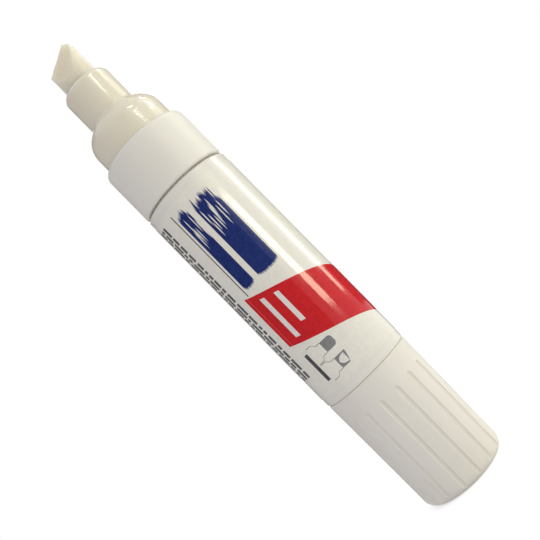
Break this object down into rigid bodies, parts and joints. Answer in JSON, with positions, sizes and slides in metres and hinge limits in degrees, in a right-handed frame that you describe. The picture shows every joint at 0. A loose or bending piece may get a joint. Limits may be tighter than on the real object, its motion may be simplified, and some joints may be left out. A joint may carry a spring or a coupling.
{
  "type": "paint marker",
  "caption": "Broad round paint marker with a two-ended felt nib, a pressed-nib valve, a wrap label and a grooved cap posted on its tail.",
  "frame": {"origin": "centre of the cap's flat end, which the marker stands on", "axes": "+Z along the marker's axis from the cap to the nib; the broad face of the chisel looks along -Y, and its long corner is on the +X side"},
  "size_m": [0.0184, 0.0184, 0.1058],
  "materials": {
    "cap_plastic": "satin white moulded plastic",
    "liner_plastic": "soft natural plastic",
    "barrel_plastic": "glossy white moulded plastic",
    "label_film": "glossy printed film",
    "collar_plastic": "satin white moulded plastic",
    "nose_plastic": "glossy translucent natural plastic",
    "nib_felt": "pressed felt wet with white paint",
    "gasket_rubber": "plain black rubber",
    "valve_plastic": "natural moulded plastic",
    "spring_steel": "drawn stainless wire",
    "ball_steel": "polished bearing ball"
  },
  "bodies": {
    "cap": {"cap": "cap_plastic", "cap_liner": "liner_plastic"},
    "barrel": {"barrel": "barrel_plastic", "label": "label_film", "front_collar": "collar_plastic", "nose": "nose_plastic", "nose_gasket": "gasket_rubber", "valve_seat": "valve_plastic", "valve_cage": "valve_plastic", "valve_spring": "spring_steel"},
    "plunger": {"valve_stem": "valve_plastic", "valve_seal": "gasket_rubber"},
    "nib": {"nib": "nib_felt"},
    "mixing_ball": {"mixing_ball": "ball_steel"}
  },
  "joints": [
    {"name": "barrel_pull", "type": "slide", "parent": "cap", "child": "barrel", "axis": [0, 0, 1], "range_m": [0, 0.03]},
    {"name": "nib_press", "type": "slide", "parent": "barrel", "child": "plunger", "axis": [0, 0, -1], "range_m": [0, 0.002], "stiffness_N_per_m": 600, "springref_m": -0.002, "deforming": ["valve_spring"]},
    {"name": "nib_pull", "type": "slide", "parent": "plunger", "child": "nib", "axis": [0, 0, 1], "range_m": [0, 0.034]},
    {"name": "ball_travel", "type": "slide", "parent": "barrel", "child": "mixing_ball", "axis": [0, 0, 1], "range_m": [0, 0.026]}
  ]
}
